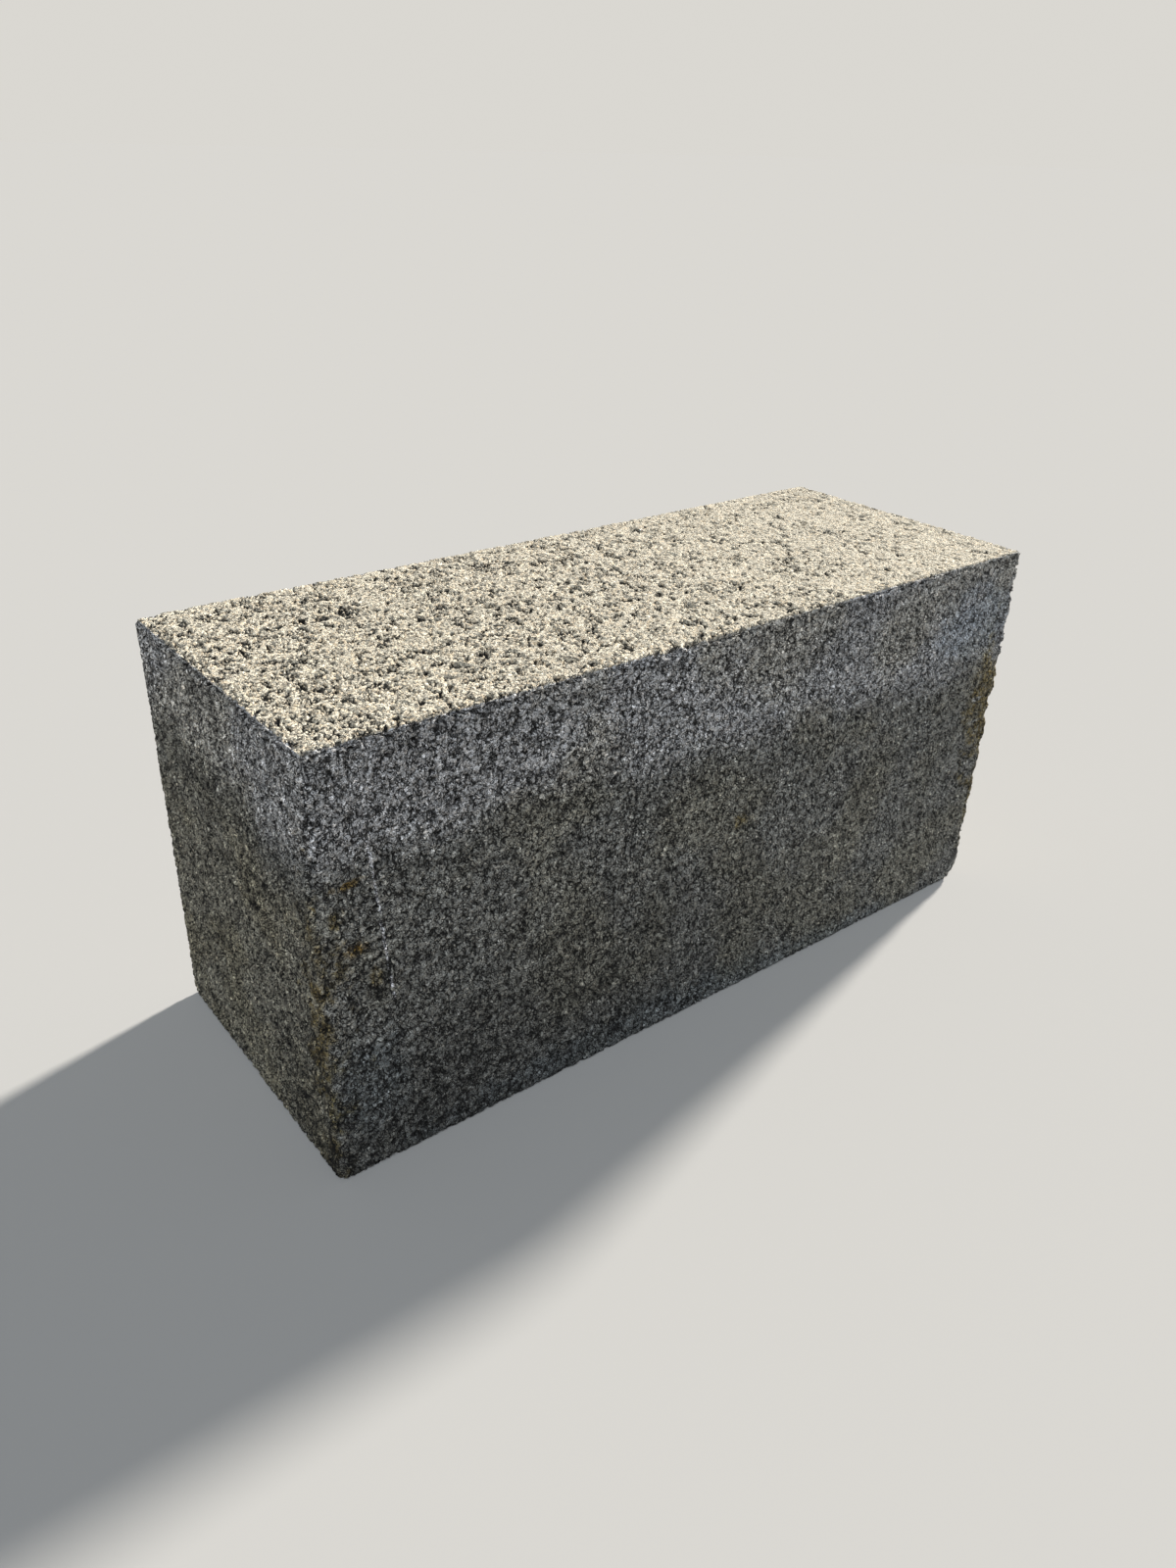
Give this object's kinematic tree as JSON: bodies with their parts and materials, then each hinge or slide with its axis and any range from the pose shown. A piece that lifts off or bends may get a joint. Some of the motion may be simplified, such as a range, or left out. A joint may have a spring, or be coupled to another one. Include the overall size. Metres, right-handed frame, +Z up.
{
  "type": "solid concrete block",
  "caption": "Solid dense concrete masonry block with open granular faces, worn arrises, a broken corner and pits in the top bed.",
  "frame": {"origin": "middle of the foot, on the floor that the block stands on", "axes": "+X along the length towards the right end, +Y from the front face to the back face, +Z up"},
  "size_m": [0.39, 0.15, 0.19],
  "materials": {
    "concrete": "rough, open-grained, matt"
  },
  "bodies": {
    "root": {"concrete_block": "concrete"}
  },
  "joints": []
}
